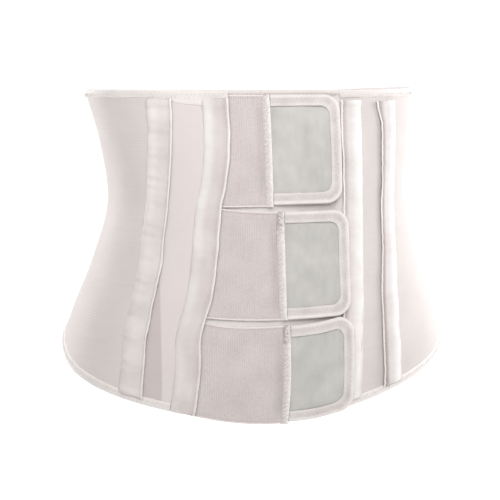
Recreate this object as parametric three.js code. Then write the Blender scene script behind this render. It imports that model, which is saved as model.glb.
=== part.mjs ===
// Abdominal binder with boned seams and three elastic front straps, closed as it is worn.
// Millimetres, +Z up. The origin is the middle of the torso at the waist, and the front faces -Y.
// Left and right are a viewer's who stands in front. A girth is a length along the body's horizontal
// section from the centre front, negative to the left, and a lift is a distance out of the panels' face.
import * as THREE from "three";

// Body form
const waistWidth = 265;
const waistDepth = 183;
const riseAboveWaist = 97;
const dropBelowWaist = 177;
const sectionSquareness = 2.3;

// Rim and hem
const rimDipAtBack = 3;
const hemDrop = 53;
const hemBackShare = 0.4;
const hemLowestAngle = -6;

// Cloth and tape
const panelThickness = 1.2;
const strapThickness = 1.2;
const padThickness = 1;
const tapeThickness = 0.6;
const layerGap = 0.3;
const bindingWidth = 10;

// Closure
const closureWidth = 120;
const strapSpacing = 5.5;
const strapBelowRim = 6;
const strapBelowHem = 3;
const tabLength = closureWidth / 2;
const tabCornerRadius = 14;
const tabBindingWidth = 9.5;
const jointSeamWidth = 6.5;
const jointSeamHeight = 1;
const underlapReach = 0.93 * closureWidth;
const strapRootGap = 1.2;

// Bone casings
const casingWidth = 21;
const casingHeight = 1.6;

// Fineness
const backColumns = 40;
const frontColumns = 4;
const underlapColumns = 12;
const bodyRows = 15;
const strapColumns = 8;
const strapRows = 10;
const tabColumns = 7;
const tabSideSteps = 4;
const tabEndSteps = 5;
const cornerSteps = 5;
const walkStep = THREE.MathUtils.degToRad(1.5);

// The torso from above the rim to below the hem. height is a share of the rise above the waist or of the
// drop below it, halfWidth a share of the waist's width, and front and back are shares of its depth.
const sections = [
  { height: 1.03, halfWidth: 0.56, front: 0.54, back: 0.56 },
  { height: 0.515, halfWidth: 0.518, front: 0.586, back: 0.435 },
  { height: 0, halfWidth: 0.5, front: 0.61, back: 0.39 },
  { height: -0.28, halfWidth: 0.548, front: 0.631, back: 0.465 },
  { height: -0.565, halfWidth: 0.619, front: 0.663, back: 0.572 },
  { height: -0.82, halfWidth: 0.662, front: 0.672, back: 0.65 },
  { height: -1.045, halfWidth: 0.643, front: 0.63, back: 0.656 },
];

// Middle lines of the four casings. down counts straps from the top strap's upper edge, and the
// others are girths as shares of the closure's width. The straps pull the left placket into steps.
const casingLines = [
  { down: -0.06, leftOuter: -0.875, placket: -0.508, rightInner: 0.492, rightOuter: 0.842 },
  { down: 0.38, leftOuter: -0.9, placket: -0.51, rightInner: 0.483, rightOuter: 0.846 },
  { down: 0.72, leftOuter: -0.92, placket: -0.536, rightInner: 0.475, rightOuter: 0.842 },
  { down: 0.95, leftOuter: -0.94, placket: -0.575, rightInner: 0.473, rightOuter: 0.838 },
  { down: 1.18, leftOuter: -0.965, placket: -0.598, rightInner: 0.469, rightOuter: 0.825 },
  { down: 1.45, leftOuter: -0.995, placket: -0.62, rightInner: 0.46, rightOuter: 0.804 },
  { down: 1.71, leftOuter: -1.045, placket: -0.658, rightInner: 0.452, rightOuter: 0.783 },
  { down: 1.9, leftOuter: -1.085, placket: -0.705, rightInner: 0.446, rightOuter: 0.775 },
  { down: 2.08, leftOuter: -1.112, placket: -0.745, rightInner: 0.435, rightOuter: 0.775 },
  { down: 2.35, leftOuter: -1.138, placket: -0.755, rightInner: 0.426, rightOuter: 0.778 },
  { down: 2.62, leftOuter: -1.154, placket: -0.775, rightInner: 0.423, rightOuter: 0.792 },
  { down: 2.8, leftOuter: -1.16, placket: -0.79, rightInner: 0.42, rightOuter: 0.8 },
];

// The straps. seam is where the tab is sewn on, as a girth in shares of the closure's width. The others are
// shares of a full strap's width: how deep the strap is at that seam, and how far each edge rises from
// there to the placket and to the tab's free end.
const straps = [
  { name: "top", seam: -0.13, depth: 1, rootTop: 0, rootBottom: 0.01, endTop: 0, endBottom: 0 },
  { name: "middle", seam: -0.06, depth: 1, rootTop: 0.05, rootBottom: 0.07, endTop: 0, endBottom: 0.03 },
  { name: "bottom", seam: -0.04, depth: 0.94, rootTop: 0.11, rootBottom: 0.15, endTop: 0.07, endBottom: 0.08 },
];

// The crown of a casing, from its sewn edge to the proud folded edge that faces the closure.
// across is a share of the width and lift a share of the height.
const casingCrown = [
  { across: -0.5, lift: 0.3 },
  { across: -0.42, lift: 0.55 },
  { across: -0.1, lift: 0.8 },
  { across: 0.3, lift: 0.75 },
  { across: 0.42, lift: 1 },
  { across: 0.5, lift: 0.8 },
];

// A joint seam's crown, from the elastic to the ridge at the tab, as shares of its width and height.
const jointSeamCrown = [
  { across: 0, lift: 1 },
  { across: -0.3, lift: 0.9 },
  { across: -0.5, lift: 0.5 },
  { across: -1, lift: 0.4 },
];

const clothRoughness = 0.85;
const colours = {
  panel: 0xdcd3d0,
  lining: 0xd9cfcc,
  casing: 0xe9e4e2,
  binding: 0xe6dfdd,
  elastic: 0xd9cfcd,
  pad: 0xcdcac4,
  thread: 0xefe9e7,
};

// Lifts of the layers, from the torso outwards
const panelInside = -panelThickness;
const underlapBindingOutside = panelInside - layerGap;
const underlapOutside = underlapBindingOutside - tapeThickness - layerGap;
const underlapInside = underlapOutside - panelThickness;
const strapOutside = panelInside + strapThickness;
const casingUnderside = Math.max(0, strapOutside) + layerGap;
const padInside = panelInside + tapeThickness + layerGap;
const padOutside = padInside + padThickness;
const foldDepth = tapeThickness + layerGap;

const firstStrapTop = riseAboveWaist - strapBelowRim;
const strapStack = firstStrapTop + dropBelowWaist + strapBelowHem;
const strapDepths = straps.reduce((sum, strap) => sum + strap.depth, 0);
const strapWidth = (strapStack - (straps.length - 1) * strapSpacing) / strapDepths;
const strapPitch = strapWidth + strapSpacing;

// A smooth curve through a table's rows, read at one value of its first column.
function follow(rows, position, column, at) {
  const order = position(rows[0]) < position(rows[rows.length - 1]) ? rows : [...rows].reverse();
  const x = order.map(position);
  const y = order.map((row) => row[column]);
  const last = x.length - 1;
  const value = THREE.MathUtils.clamp(at, x[0], x[last]);
  const i = Math.min(Math.max(x.findIndex((edge) => edge >= value) - 1, 0), last - 1);
  const slope = (k) => {
    const low = Math.max(k - 1, 0);
    const high = Math.min(k + 1, last);
    return (y[high] - y[low]) / (x[high] - x[low]);
  };
  const span = x[i + 1] - x[i];
  const t = (value - x[i]) / span;
  const rise = y[i + 1] - y[i];
  const a = slope(i) * span - rise;
  const b = rise - slope(i + 1) * span;
  return y[i] + t * rise + t * (1 - t) * (a * (1 - t) + b * t);
}

const sectionHeight = (row) => row.height * (row.height > 0 ? riseAboveWaist : dropBelowWaist);

function sectionAt(height) {
  return {
    halfWidth: waistWidth * follow(sections, sectionHeight, "halfWidth", height),
    front: waistDepth * follow(sections, sectionHeight, "front", height),
    back: waistDepth * follow(sections, sectionHeight, "back", height),
  };
}

// A point of the torso's squared oval section, at an angle from the centre front.
function ovalPoint(section, angle, height) {
  const halfDepth = (section.front + section.back) / 2;
  const middle = (section.back - section.front) / 2;
  const wide = Math.abs(Math.sin(angle) / section.halfWidth) ** sectionSquareness;
  const deep = Math.abs(Math.cos(angle) / halfDepth) ** sectionSquareness;
  const radius = (wide + deep) ** (-1 / sectionSquareness);
  return new THREE.Vector3(radius * Math.sin(angle), middle - radius * Math.cos(angle), height);
}

// The point that lies a lift out of the panels' outer face.
function formPoint(angle, height, lift) {
  const nudge = 0.5;
  const turn = nudge / waistWidth;
  const at = (a, h) => ovalPoint(sectionAt(h), a, h);
  const around = at(angle + turn, height).sub(at(angle - turn, height));
  const upwards = at(angle, height + nudge).sub(at(angle, height - nudge));
  return at(angle, height).addScaledVector(around.cross(upwards).normalize(), lift);
}

// The angle at which a girth ends: walks round the section in small steps.
function angleAt(girth, height) {
  const section = sectionAt(height);
  const step = Math.sign(girth) * walkStep;
  let left = Math.abs(girth);
  let angle = 0;
  let here = ovalPoint(section, angle, height);
  while (left > 0) {
    const next = ovalPoint(section, angle + step, height);
    const length = next.distanceTo(here);
    if (length >= left) return angle + (step * left) / length;
    left -= length;
    angle += step;
    here = next;
  }
  return angle;
}

const rimAt = (angle) => riseAboveWaist - (rimDipAtBack * (1 - Math.cos(angle))) / 2;

// The hem is cut low at the front and levels off behind.
function hemAt(angle) {
  const toFront = Math.cos(angle - THREE.MathUtils.degToRad(hemLowestAngle));
  const share = toFront > 0 ? toFront : toFront / (1 - toFront * (1 / hemBackShare - 1));
  return -(dropBelowWaist - hemDrop) - hemDrop * share;
}

function casingLine(column, height) {
  const down = (firstStrapTop - height) / strapPitch;
  return closureWidth * follow(casingLines, (row) => row.down, column, down);
}

const landingLeft = (height) => casingLine("rightInner", height) - casingWidth / 2;

const between = THREE.MathUtils.lerp;
const shares = (count) => Array.from({ length: count + 1 }, (_, i) => i / count);

// Upright lines on the form give an angle at each height.
const onForm = (girthAt) => (height) => angleAt(girthAt(height), height);
const besideCasing = (column, shift) => onForm((height) => casingLine(column, height) + shift);
const oneTurnOn = (line) => (height) => line(height) + 2 * Math.PI;
const linesBetween = (from, to, count) =>
  shares(count).map((share) => (height) => between(from(height), to(height), share));

// The levels of the panels' corners, as shares from hem to rim. The outermost two lie at the bindings.
const bindingShare = (bindingWidth + layerGap) / (riseAboveWaist + dropBelowWaist - hemDrop / 2);
const bodyLevels = [
  0,
  ...shares(bodyRows).map((share) => between(bindingShare, 1 - bindingShare, share)),
  1,
];

// The place on an upright line at a share of the way from inside the hem's fold to inside the rim's.
function placeOn(line, up) {
  let height = between(-dropBelowWaist, riseAboveWaist, up);
  for (let i = 0; i < 3; i++) {
    const angle = line(height);
    height = between(hemAt(angle) + foldDepth, rimAt(angle) - foldDepth, up);
  }
  return { angle: line(height), height };
}

// A closed sheet between two lifts. place gives the angle, height and raise for each step across and up.
function sheet({ across, up, place, inside, outside }) {
  const corners = [];
  for (const lift of [inside, outside])
    for (const v of up)
      for (const u of across) {
        const { angle, height, raise = 0 } = place(u, v);
        corners.push(formPoint(angle, height, lift + raise));
      }
  const columns = across.length - 1;
  const rows = up.length - 1;
  const back = (i, j) => j * (columns + 1) + i;
  const face = (i, j) => (rows + 1) * (columns + 1) + back(i, j);
  const quads = [];
  for (let j = 0; j < rows; j++)
    for (let i = 0; i < columns; i++) {
      quads.push([face(i, j), face(i + 1, j), face(i + 1, j + 1), face(i, j + 1)]);
      quads.push([back(i, j), back(i, j + 1), back(i + 1, j + 1), back(i + 1, j)]);
    }
  for (let i = 0; i < columns; i++) {
    quads.push([back(i, 0), back(i + 1, 0), face(i + 1, 0), face(i, 0)]);
    quads.push([face(i, rows), face(i + 1, rows), back(i + 1, rows), back(i, rows)]);
  }
  for (let j = 0; j < rows; j++) {
    quads.push([back(0, j + 1), back(0, j), face(0, j), face(0, j + 1)]);
    quads.push([face(columns, j + 1), face(columns, j), back(columns, j), back(columns, j + 1)]);
  }
  return geometryOf(corners, quads.flatMap(([a, b, c, d]) => [a, b, c, a, c, d]));
}

// A tape: a closed outline of across and lift, carried along a path on the form. place gives the angle,
// height and raise for a path's point and a distance across.
function tape({ path, outline, place }) {
  const flat = outline.map(({ across, lift }) => new THREE.Vector2(across, lift));
  if (THREE.ShapeUtils.isClockWise(flat)) flat.reverse();
  const corners = path.flatMap((point) =>
    flat.map(({ x: across, y: lift }) => {
      const { angle, height, raise = 0 } = place(point, across);
      return formPoint(angle, height, lift + raise);
    }),
  );
  const around = flat.length;
  const faces = [];
  for (let i = 0; i < path.length - 1; i++)
    for (let k = 0; k < around; k++) {
      const a = i * around + k;
      const b = i * around + ((k + 1) % around);
      faces.push(a, b, b + around, a, b + around, a + around);
    }
  const start = (path.length - 1) * around;
  for (const [a, b, c] of THREE.ShapeUtils.triangulateShape(flat, [])) {
    faces.push(a, c, b);
    faces.push(start + a, start + b, start + c);
  }
  return geometryOf(corners, faces);
}

// A geometry whose faces point out, whichever way its path ran.
function geometryOf(corners, faces) {
  let volume = 0;
  for (let i = 0; i < faces.length; i += 3) {
    const [a, b, c] = [0, 1, 2].map((k) => corners[faces[i + k]]);
    volume += a.dot(b.clone().cross(c));
  }
  const order = volume < 0 ? [...faces].reverse() : faces;
  const geometry = new THREE.BufferGeometry().setFromPoints(corners).setIndex(order);
  geometry.computeVertexNormals();
  return geometry;
}

const binder = new THREE.Group();

function addPiece(name, colour, geometry) {
  const material = new THREE.MeshStandardMaterial({ color: colour, roughness: clothRoughness, metalness: 0 });
  const piece = new THREE.Mesh(geometry, material);
  piece.name = name;
  binder.add(piece);
}

// A panel between two upright lines.
function addPanel(name, { left, right, columns, inside = panelInside, outside = 0, colour }) {
  const place = (across, up) => placeOn((height) => between(left(height), right(height), across), up);
  const across = shares(columns);
  addPiece(name, colour, sheet({ across, up: bodyLevels, place, inside, outside }));
}

// A tape folded over an edge: two legs and the fold between them.
function foldedOutline(width, inside, outside) {
  const fold = tapeThickness;
  return [
    { across: 0, lift: outside + layerGap + fold },
    { across: width, lift: outside + layerGap + fold },
    { across: width, lift: outside + layerGap },
    { across: fold, lift: outside + layerGap },
    { across: fold, lift: inside - layerGap },
    { across: width, lift: inside - layerGap },
    { across: width, lift: inside - layerGap - fold },
    { across: 0, lift: inside - layerGap - fold },
  ];
}

// A binding along the rim or the hem, which crosses the given upright lines.
function addEdgeBinding(name, { lines, edge, inwards, inside = panelInside, outside = 0 }) {
  const place = (line, across) => {
    let height = 0;
    for (let i = 0; i < 4; i++) height = edge(line(height)) + inwards * across;
    return { angle: line(height), height };
  };
  const outline = foldedOutline(bindingWidth, inside, outside);
  addPiece(name, colours.binding, tape({ path: lines, outline, place }));
}

// A casing's crown with a flat underside, mirrored for the right half so that its fold faces the closure.
function casingOutline(facing) {
  const crown = casingCrown.map(({ across, lift }) => ({
    across: facing * across * casingWidth,
    lift: casingUnderside + lift * casingHeight,
  }));
  const underside = [0.5, 0, -0.5].map((share) => ({
    across: facing * share * casingWidth,
    lift: casingUnderside,
  }));
  return [...crown, ...underside];
}

// A casing between two of the panels' levels.
function addCasing(name, { column, facing, levels }) {
  const place = (up, across) => placeOn(besideCasing(column, across), up);
  addPiece(name, colours.casing, tape({ path: levels, outline: casingOutline(facing), place }));
}

// Where a strap's edges run, and how far the tab is raised on its way over the landing casing.
function strapEdges(strap, index) {
  const top = firstStrapTop - index * strapPitch;
  const low = top - strap.depth * strapWidth;
  const seam = strap.seam * closureWidth;
  const end = seam + tabLength;
  const bend = (start, toRoot, toEnd) => (girth) => {
    const reach = girth < seam ? seam - casingLine("placket", start) : tabLength;
    const rise = strapWidth * (girth < seam ? toRoot : toEnd);
    return start + rise * ((girth - seam) / reach) ** 2;
  };
  const overCasing = casingUnderside + casingHeight + layerGap - panelInside;
  const slope = overCasing / (landingLeft(low) - seam);
  return {
    seam,
    end,
    topAt: bend(top, strap.rootTop, strap.endTop),
    bottomAt: bend(low, strap.rootBottom, strap.endBottom),
    raiseAt: (girth) => slope * (girth - seam),
  };
}

// The elastic band runs from under the placket to the seam.
function addStrap(name, { seam, topAt, bottomAt }) {
  const place = (across, up) => {
    const rootAt = (height) => casingLine("placket", height) + strapRootGap / 2;
    const girthAt = (height) => between(rootAt(height), seam, across);
    const rough = girthAt(between(bottomAt(seam), topAt(seam), up));
    const height = between(bottomAt(rough), topAt(rough), up);
    return { angle: angleAt(girthAt(height), height), height };
  };
  const steps = { across: shares(strapColumns), up: shares(strapRows) };
  const lifts = { inside: panelInside, outside: strapOutside };
  addPiece(name, colours.elastic, sheet({ ...steps, ...lifts, place }));
}

function addJointSeam(name, { seam, topAt, bottomAt }) {
  const low = strapOutside + layerGap;
  const crown = jointSeamCrown.map(({ across, lift }) => ({
    across: across * jointSeamWidth,
    lift: low + lift * jointSeamHeight,
  }));
  const outline = [...crown, { across: -jointSeamWidth, lift: low }, { across: 0, lift: low }];
  const path = shares(strapRows).map((share) => between(bottomAt(seam), topAt(seam), share));
  const place = (height, across) => ({ angle: angleAt(seam + across, height), height });
  addPiece(name, colours.thread, tape({ path, outline, place }));
}

// The tab's outline from the seam along its top, round the free end and back, as girth, height and the
// direction that leads into the tab.
function tabPath({ seam, end, topAt, bottomAt }) {
  const start = seam + layerGap;
  const bend = end - tabCornerRadius;
  const points = [];
  for (const share of shares(tabSideSteps)) {
    const girth = between(start, bend, share);
    points.push({ girth, height: topAt(girth), inX: 0, inZ: -1 });
  }
  const corner = (turnFrom, middleHeight) => {
    for (const share of shares(cornerSteps).slice(1)) {
      const turn = turnFrom - (share * Math.PI) / 2;
      const [x, z] = [Math.cos(turn), Math.sin(turn)];
      const height = middleHeight + tabCornerRadius * z;
      points.push({ girth: bend + tabCornerRadius * x, height, inX: -x, inZ: -z });
    }
  };
  corner(Math.PI / 2, topAt(bend) - tabCornerRadius);
  const low = bottomAt(bend) + tabCornerRadius;
  const high = topAt(bend) - tabCornerRadius;
  for (const share of shares(tabEndSteps).slice(1, -1))
    points.push({ girth: end, height: between(high, low, share), inX: -1, inZ: 0 });
  points.push({ girth: end, height: low, inX: -1, inZ: 0 });
  corner(0, low);
  for (const share of shares(tabSideSteps).slice(1)) {
    const girth = between(bend, start, share);
    points.push({ girth, height: bottomAt(girth), inX: 0, inZ: 1 });
  }
  return points;
}

function addTabBinding(name, edges) {
  const place = ({ girth, height, inX, inZ }, across) => {
    const level = height + inZ * across;
    const reach = girth + inX * across;
    return { angle: angleAt(reach, level), height: level, raise: edges.raiseAt(reach) };
  };
  const outline = foldedOutline(tabBindingWidth, padInside, padOutside);
  addPiece(name, colours.binding, tape({ path: tabPath(edges), outline, place }));
}

// The hook pad fills the tab up to the fold of its binding, with the same round corners.
function addPad(name, { seam, end, topAt, bottomAt, raiseAt }) {
  const radius = tabCornerRadius - foldDepth;
  const bend = end - tabCornerRadius;
  const high = topAt(bend) - foldDepth;
  const low = bottomAt(bend) + foldDepth;
  const up = [
    ...shares(cornerSteps).map((share) => low + radius * (1 - Math.cos((share * Math.PI) / 2))),
    ...shares(tabEndSteps).slice(1, -1).map((share) => between(low + radius, high - radius, share)),
    ...shares(cornerSteps).map((share) => high - radius * (1 - Math.sin((share * Math.PI) / 2))),
  ];
  const place = (across, square) => {
    const beyond = Math.max(0, low + radius - square, square - high + radius);
    const reach = bend + Math.sqrt(Math.max(0, radius ** 2 - beyond ** 2));
    const girth = between(seam + layerGap, reach, across);
    const share = (square - low) / (high - low);
    const [lower, upper] = [bottomAt(girth) + foldDepth, topAt(girth) - foldDepth];
    const height = girth > bend ? square : between(lower, upper, share);
    return { angle: angleAt(girth, height), height, raise: raiseAt(girth) };
  };
  const lifts = { inside: padInside, outside: padOutside };
  addPiece(name, colours.pad, sheet({ across: shares(tabColumns), up, ...lifts, place }));
}

function addPanels() {
  const seamGap = layerGap / 2;
  addPanel("back_panel", {
    left: besideCasing("rightOuter", seamGap),
    right: oneTurnOn(besideCasing("leftOuter", -seamGap)),
    columns: backColumns,
    colour: colours.panel,
  });
  addPanel("front_panel_left", {
    left: besideCasing("leftOuter", seamGap),
    right: besideCasing("placket", -strapRootGap / 2),
    columns: frontColumns,
    colour: colours.panel,
  });
  addPanel("front_panel_right", {
    left: onForm(landingLeft),
    right: besideCasing("rightOuter", -seamGap),
    columns: frontColumns,
    colour: colours.panel,
  });
  addPanel("underlap", {
    left: onForm(() => -underlapReach),
    right: besideCasing("rightInner", casingWidth / 2),
    columns: underlapColumns,
    inside: underlapInside,
    outside: underlapOutside,
    colour: colours.lining,
  });
}

// The shell's bindings run the long way round, and the underlap's own ones close the ring in front.
function addBindings() {
  const half = casingWidth / 2;
  const rim = { edge: rimAt, inwards: -1 };
  const hem = { edge: hemAt, inwards: 1 };
  const under = { inside: underlapInside, outside: underlapOutside };
  const landing = onForm(landingLeft);
  const rightSeam = besideCasing("rightOuter", 0);
  const leftSeam = oneTurnOn(besideCasing("leftOuter", 0));
  const round = [
    ...linesBetween(landing, rightSeam, frontColumns),
    ...linesBetween(rightSeam, leftSeam, backColumns).slice(1),
  ];
  const roundTo = (shift) => {
    const end = oneTurnOn(besideCasing("placket", shift));
    return [...round, ...linesBetween(leftSeam, end, frontColumns).slice(1)];
  };
  const underFrom = (shift) => {
    const start = besideCasing("placket", shift + layerGap);
    const end = onForm((height) => landingLeft(height) - layerGap);
    return linesBetween(start, end, underlapColumns - frontColumns);
  };
  addEdgeBinding("top_binding", { ...rim, lines: roundTo(half) });
  addEdgeBinding("bottom_binding", { ...hem, lines: roundTo(-half - layerGap) });
  addEdgeBinding("underlap_top_binding", { ...rim, ...under, lines: underFrom(half) });
  addEdgeBinding("underlap_bottom_binding", { ...hem, ...under, lines: underFrom(-half - layerGap) });
}

// The placket runs on over the hem, and the other casings end at the bindings.
function addCasings() {
  const clear = bodyLevels.slice(1, -1);
  addCasing("casing_left_outer", { column: "leftOuter", facing: 1, levels: clear });
  addCasing("casing_right_outer", { column: "rightOuter", facing: -1, levels: clear });
  addCasing("casing_right_inner", { column: "rightInner", facing: -1, levels: clear });
  addCasing("strap_placket", { column: "placket", facing: 1, levels: bodyLevels.slice(0, -1) });
}

function addClosure() {
  straps.forEach((strap, index) => {
    const edges = strapEdges(strap, index);
    addStrap(`strap_${strap.name}`, edges);
    addJointSeam(`joint_seam_${strap.name}`, edges);
    addTabBinding(`tab_binding_${strap.name}`, edges);
    addPad(`hook_pad_${strap.name}`, edges);
  });
}

addPanels();
addBindings();
addCasings();
addClosure();

export default binder;
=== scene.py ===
import math

import bpy
import numpy as np
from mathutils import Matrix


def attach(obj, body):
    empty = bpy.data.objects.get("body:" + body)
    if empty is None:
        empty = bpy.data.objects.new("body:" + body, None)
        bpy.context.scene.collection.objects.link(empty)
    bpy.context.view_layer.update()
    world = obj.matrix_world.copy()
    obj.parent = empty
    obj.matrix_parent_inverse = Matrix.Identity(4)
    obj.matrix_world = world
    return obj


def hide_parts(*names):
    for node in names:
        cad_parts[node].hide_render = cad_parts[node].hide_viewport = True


# White abdominal binder with boned casings and three elastic straps, filled out as it is worn.
# Lengths are in millimetres until a mesh is made. Left and right are a viewer's in front, girth runs along
# the body's section from the centre front, and lift is how far a point stands out of the panels' face.
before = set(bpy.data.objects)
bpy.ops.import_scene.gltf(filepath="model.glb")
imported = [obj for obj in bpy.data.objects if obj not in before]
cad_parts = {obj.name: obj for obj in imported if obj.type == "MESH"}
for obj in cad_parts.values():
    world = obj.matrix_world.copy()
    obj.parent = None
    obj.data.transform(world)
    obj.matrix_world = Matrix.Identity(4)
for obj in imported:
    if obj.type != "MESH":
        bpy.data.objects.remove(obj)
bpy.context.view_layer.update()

body = {
    "waistWidth": 265,
    "waistDepth": 183,
    "rise": 97,  # waist to rim
    "drop": 177,  # waist to the lowest point of the hem
    "squareness": 2.3,
    "rimDipAtBack": 3,
    "rimDipAtFront": 0.9,
    "rimLeftRise": 1.2,  # how far the rim lifts over each side
    "rimRightRise": 3.2,
    "hemDrop": 53,
    "hemBackShare": 0.4,
    "hemLowestAngle": -6,
    "rightHip": 0.02,  # how much wider the body stands on the right, near the hem
    "hipLevel": -128,
    "hipSpan": 30,
}
# height in shares of the rise or the drop, half width in waist widths, front and back in waist depths
sectionTable = [
    (1.03, 0.56, 0.54, 0.56),
    (0.515, 0.518, 0.586, 0.435),
    (0.0, 0.5, 0.61, 0.39),
    (-0.28, 0.548, 0.631, 0.465),
    (-0.565, 0.619, 0.663, 0.572),
    (-0.82, 0.662, 0.672, 0.65),
    (-1.045, 0.643, 0.63, 0.656),
]
cloth = {"panel": 1.2, "gap": 0.3, "tape": 0.6, "pad": 1.0}  # thicknesses, and the room between layers
closure = {
    "width": 120,
    "strapGap": 5.5,
    "belowRim": 6,
    "belowHem": 3,
    "cornerRadius": 14,
    "frameWidth": 9.5,
    "underlapReach": 111.6,
    "casingWidth": 21,
    "casingHeight": 1.6,
}
# straps down from the first one's top edge, then the middle lines of the casings in closure widths:
# left outer, placket, right inner, right outer
casingTable = [
    (-0.06, -0.875, -0.508, 0.477, 0.832),
    (0.38, -0.9, -0.51, 0.472, 0.834),
    (0.72, -0.92, -0.536, 0.472, 0.828),
    (0.95, -0.94, -0.575, 0.47, 0.82),
    (1.18, -0.965, -0.598, 0.467, 0.812),
    (1.45, -0.995, -0.62, 0.46, 0.804),
    (1.71, -1.045, -0.658, 0.452, 0.783),
    (1.9, -1.085, -0.705, 0.446, 0.775),
    (2.08, -1.112, -0.745, 0.435, 0.775),
    (2.35, -1.138, -0.755, 0.426, 0.778),
    (2.62, -1.154, -0.775, 0.423, 0.792),
    (2.8, -1.16, -0.79, 0.42, 0.8),
]
casingColumn = {"leftOuter": 1, "placket": 2, "rightInner": 3, "rightOuter": 4}
# seam in closure widths, then in strap widths: the depth at the seam and how far the edges rise towards
# the placket and the free end; in millimetres: the tab's length, how far its top edge is raised and its
# lower edge trimmed, and how far the strap hangs below it; curl is how late the strap's top edge rises
strapTable = {
    "top": {
        "seam": -0.135, "depth": 1, "rootTop": 0, "rootBottom": 0.0, "endTop": 0, "endBottom": 0,
        "tab": 60, "raised": 0.9, "trim": 0, "hang": 1.4, "curl": 2,
    },
    "middle": {
        "seam": -0.06, "depth": 1, "rootTop": 0.06, "rootBottom": 0.055, "endTop": 0, "endBottom": 0.012,
        "tab": 56, "raised": 0, "trim": 0, "hang": 0.2, "curl": 2,
    },
    "bottom": {
        "seam": -0.04, "depth": 0.94, "rootTop": 0.11, "rootBottom": 0.15, "endTop": 0.09, "endBottom": 0.12,
        "tab": 55.5, "raised": 0.9, "trim": 2.0, "hang": 2.0, "curl": 4,
    },
}

firstStrapTop = body["rise"] - closure["belowRim"]
strapStack = firstStrapTop + body["drop"] + closure["belowHem"]
strapDepths = sum(strap["depth"] for strap in strapTable.values())
strapWidth = (strapStack - (len(strapTable) - 1) * closure["strapGap"]) / strapDepths
strapPitch = strapWidth + closure["strapGap"]
foldDepth = cloth["tape"] + cloth["gap"]
padFloor = -cloth["panel"] + foldDepth
padFace = padFloor + cloth["pad"]
halfCasing = closure["casingWidth"] / 2


# The body's form

def lerp(a, b, share):
    return a + (b - a) * share


def smoothColumn(x, y, at):
    # cubic through the rows, each slope taken from the neighbours on both sides
    order = np.argsort(x)
    x = np.asarray(x, float)[order]
    y = np.asarray(y, float)[order]
    slope = np.empty_like(y)
    slope[1:-1] = (y[2:] - y[:-2]) / (x[2:] - x[:-2])
    slope[0] = (y[1] - y[0]) / (x[1] - x[0])
    slope[-1] = (y[-1] - y[-2]) / (x[-1] - x[-2])
    at = np.clip(at, x[0], x[-1])
    i = np.clip(np.searchsorted(x, at) - 1, 0, len(x) - 2)
    span = x[i + 1] - x[i]
    t = (at - x[i]) / span
    rise = y[i + 1] - y[i]
    a = slope[i] * span - rise
    b = rise - slope[i + 1] * span
    return y[i] + t * rise + t * (1 - t) * (a * (1 - t) + b * t)


def hump(x, middle, width):
    return np.exp(-(((x - middle) / width) ** 2))


sectionHeights = [row[0] * (body["rise"] if row[0] > 0 else body["drop"]) for row in sectionTable]


def ovalPoint(angle, height):
    halfWidth, front, back = (
        size * smoothColumn(sectionHeights, [row[k] for row in sectionTable], height)
        for size, k in ((body["waistWidth"], 1), (body["waistDepth"], 2), (body["waistDepth"], 3))
    )
    wider = body["rightHip"] * hump(height, body["hipLevel"], body["hipSpan"])
    flare = wider * np.maximum(np.sin(angle), 0) ** 2
    halfWidth = halfWidth * (1 + flare)
    power = body["squareness"]
    wide = np.abs(np.sin(angle) / halfWidth) ** power
    deep = np.abs(np.cos(angle) / ((front + back) / 2)) ** power
    radius = (wide + deep) ** (-1 / power)
    return np.stack([radius * np.sin(angle), (back - front) / 2 - radius * np.cos(angle), height], -1)


def facing(angle, height):
    step = 0.002
    around = ovalPoint(angle + step, height) - ovalPoint(angle - step, height)
    upwards = ovalPoint(angle, height + 0.5) - ovalPoint(angle, height - 0.5)
    out = np.cross(around, upwards)
    return out / np.linalg.norm(out, axis=-1, keepdims=True)


def formPoint(angle, height, lift):
    angle, height, lift = np.broadcast_arrays(angle, height, lift)
    return ovalPoint(angle, height) + facing(angle, height) * lift[..., None]


# The girth at every half degree, and the angle at every whole girth, in rows a millimetre apart
girthReach = 200
lowestRow, highestRow = -200, 105
degreeReach, degreeStep = 150, 0.5
tableHeights = np.arange(lowestRow, highestRow + 1)
tableAngles = np.radians(np.arange(-degreeReach, degreeReach + degreeStep, degreeStep))
ring = ovalPoint(*np.broadcast_arrays(tableAngles[None, :], tableHeights[:, None].astype(float)))
girthTable = np.zeros(ring.shape[:2])
girthTable[:, 1:] = np.cumsum(np.linalg.norm(np.diff(ring, axis=1), axis=2), axis=1)
girthTable -= girthTable[:, len(tableAngles) // 2][:, None]
wholeGirths = np.arange(-girthReach, girthReach + 1)
angleTable = np.stack([np.interp(wholeGirths, row, tableAngles) for row in girthTable])


def readTable(table, row, column):
    row = np.clip(row, 0, table.shape[0] - 1.001)
    column = np.clip(column, 0, table.shape[1] - 1.001)
    i = row.astype(int)
    j = column.astype(int)
    u = row - i
    v = column - j
    low = lerp(table[i, j], table[i, j + 1], v)
    high = lerp(table[i + 1, j], table[i + 1, j + 1], v)
    return lerp(low, high, u)


def angleAt(girth, height):
    girth, height = np.broadcast_arrays(np.asarray(girth, float), np.asarray(height, float))
    return readTable(angleTable, height - lowestRow, girth + girthReach)


def girthAt(angle, height):
    angle, height = np.broadcast_arrays(np.asarray(angle, float), np.asarray(height, float))
    turned = (angle + math.pi) % (2 * math.pi) - math.pi
    return readTable(girthTable, height - lowestRow, (np.degrees(turned) + degreeReach) / degreeStep)


def rimAt(angle):
    toSide = np.sin(angle)
    right = body["rimRightRise"] * np.maximum(toSide, 0) ** 6
    left = body["rimLeftRise"] * np.minimum(toSide, 0) ** 4
    dip = lerp(body["rimDipAtFront"], body["rimDipAtBack"], (1 - np.cos(angle)) / 2)
    return body["rise"] - dip + (right + left)


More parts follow.
